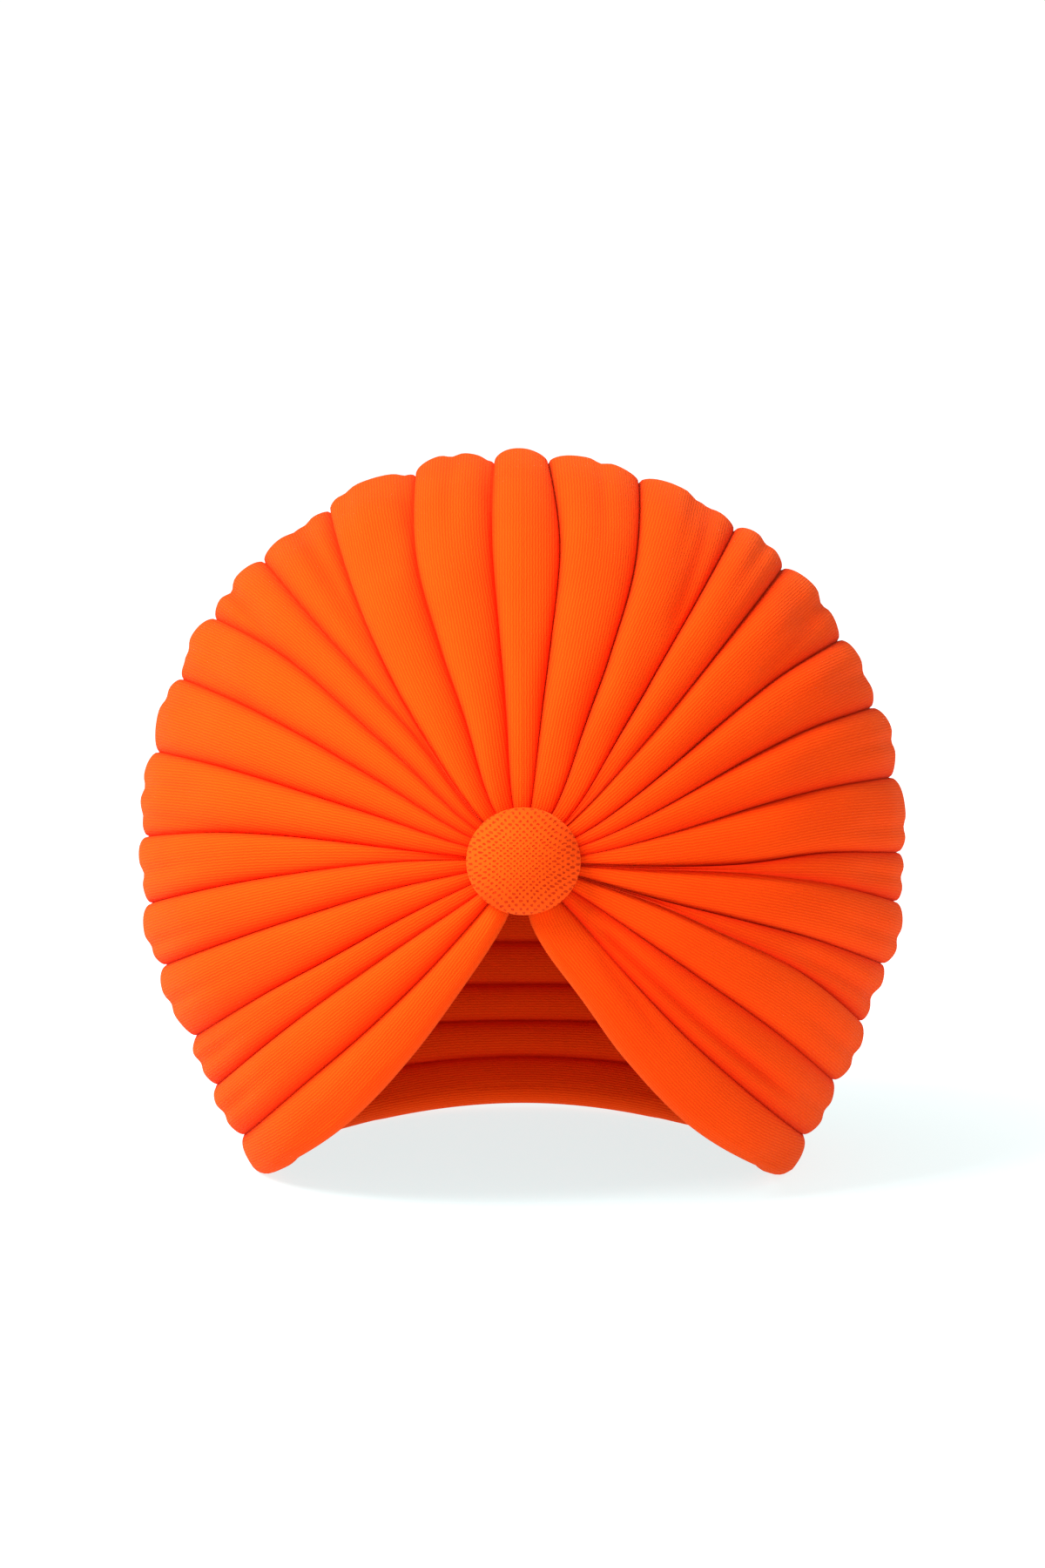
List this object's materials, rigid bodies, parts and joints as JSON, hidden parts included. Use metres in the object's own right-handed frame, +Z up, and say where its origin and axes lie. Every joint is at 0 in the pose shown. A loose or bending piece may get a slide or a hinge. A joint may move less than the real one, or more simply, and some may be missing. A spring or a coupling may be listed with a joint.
{
  "type": "pleated turban hat",
  "caption": "Soft pleated turban hat: padded knit folds fan out from a covered ball button over an open V at the front and run on round the back.",
  "frame": {"origin": "on the floor, below the middle of the hat's bounding box", "axes": "+Z up, -Y towards the front of the hat where the button sits, +X towards the wearer's left"},
  "size_m": [0.2198, 0.2174, 0.2044],
  "materials": {
    "orange_pleated_knit": "matt fine jersey knit with fine ribs along the folds",
    "orange_button_knit": "matt jersey knit, stretched, with open stitch columns"
  },
  "bodies": {
    "root": {"pleated_crown": "orange_pleated_knit", "knit_button": "orange_button_knit"}
  },
  "joints": []
}
